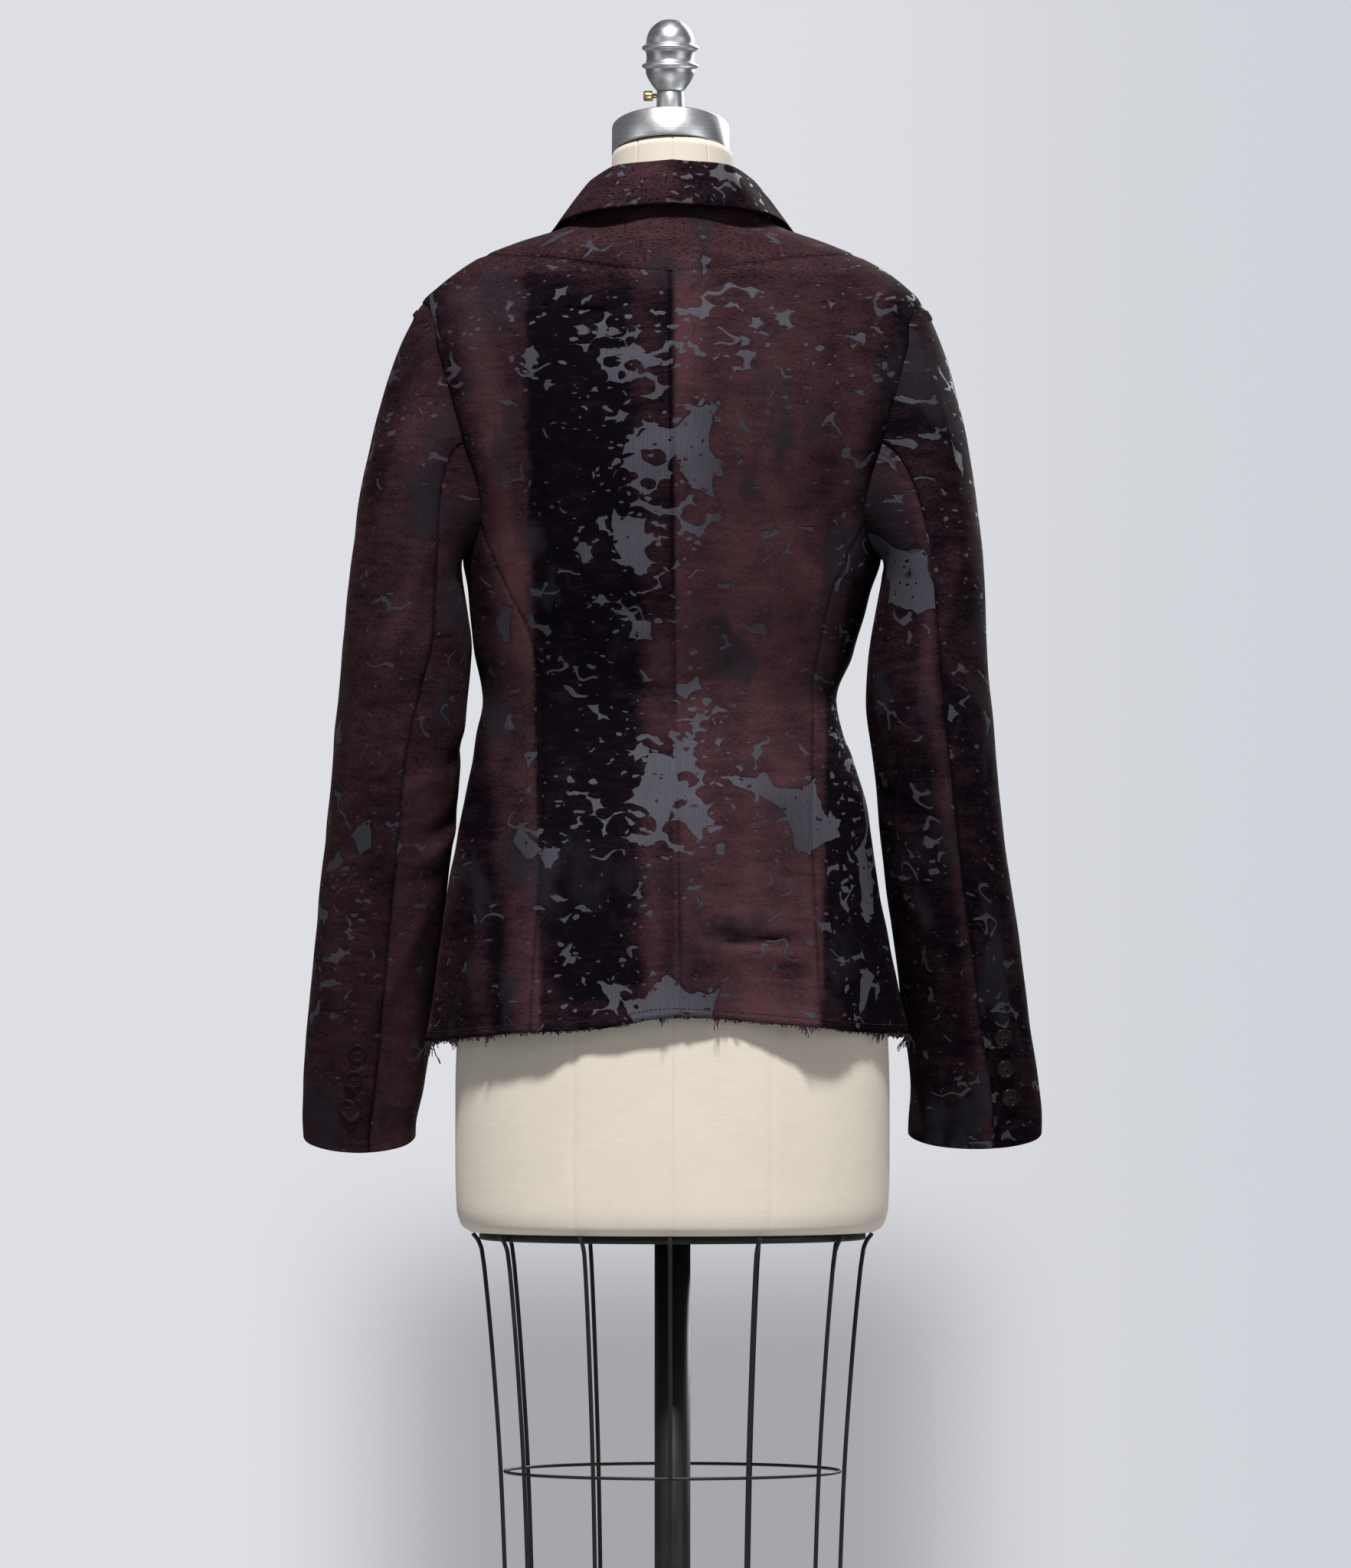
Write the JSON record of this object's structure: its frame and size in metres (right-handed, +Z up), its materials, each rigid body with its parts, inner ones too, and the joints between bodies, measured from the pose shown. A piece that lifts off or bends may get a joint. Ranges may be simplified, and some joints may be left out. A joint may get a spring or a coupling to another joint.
{
  "type": "velvet jacket on a limbless dress form with stand",
  "caption": "Fitted long-sleeved velvet jacket with a yoke, turned-down collar and frayed raw hem, worn by a canvas dress form on a pole stand with a wire cage.",
  "frame": {"origin": "centre of the base's underside, on the floor under the pole", "axes": "+Z up, the jacket's front faces -Y, +X is the wearer's left"},
  "size_m": [0.5874, 0.38, 1.603],
  "materials": {
    "velvet": "burnt-out velvet, dark brown pile on a grey ground",
    "button": "dark, polished",
    "thread": "frayed yarn",
    "canvas": "cream canvas",
    "aluminium": "dull cast and brushed",
    "brass": "plain",
    "black_steel": "satin black"
  },
  "bodies": {
    "root": {"yoke": "velvet", "back_left": "velvet", "back_right": "velvet", "side_back_left": "velvet", "side_back_right": "velvet", "front_left": "velvet", "front_right": "velvet", "lapel_left": "velvet", "lapel_right": "velvet", "collar": "velvet", "top_sleeve_left": "velvet", "top_sleeve_right": "velvet", "under_sleeve_left": "velvet", "under_sleeve_right": "velvet", "cuff_button_left_1": "button", "cuff_button_left_2": "button", "cuff_button_left_3": "button", "cuff_button_right_1": "button", "cuff_button_right_2": "button", "cuff_button_right_3": "button", "front_button_1": "button", "front_button_2": "button", "hem_fringe": "thread", "form_torso": "canvas", "neck_cap": "aluminium", "finial_stem": "aluminium", "finial": "aluminium", "set_screw": "brass", "torso_plate": "black_steel", "pole": "black_steel", "cage_ring_upper": "black_steel", "cage_ring_lower": "black_steel", "base_disc": "black_steel", "base_collar": "black_steel", "cage_wire_01": "black_steel", "cage_wire_02": "black_steel", "cage_wire_03": "black_steel", "cage_wire_04": "black_steel", "cage_wire_05": "black_steel", "cage_wire_06": "black_steel", "cage_wire_07": "black_steel", "cage_wire_08": "black_steel", "cage_wire_09": "black_steel", "cage_wire_10": "black_steel", "cage_wire_11": "black_steel", "cage_wire_12": "black_steel"}
  },
  "joints": []
}
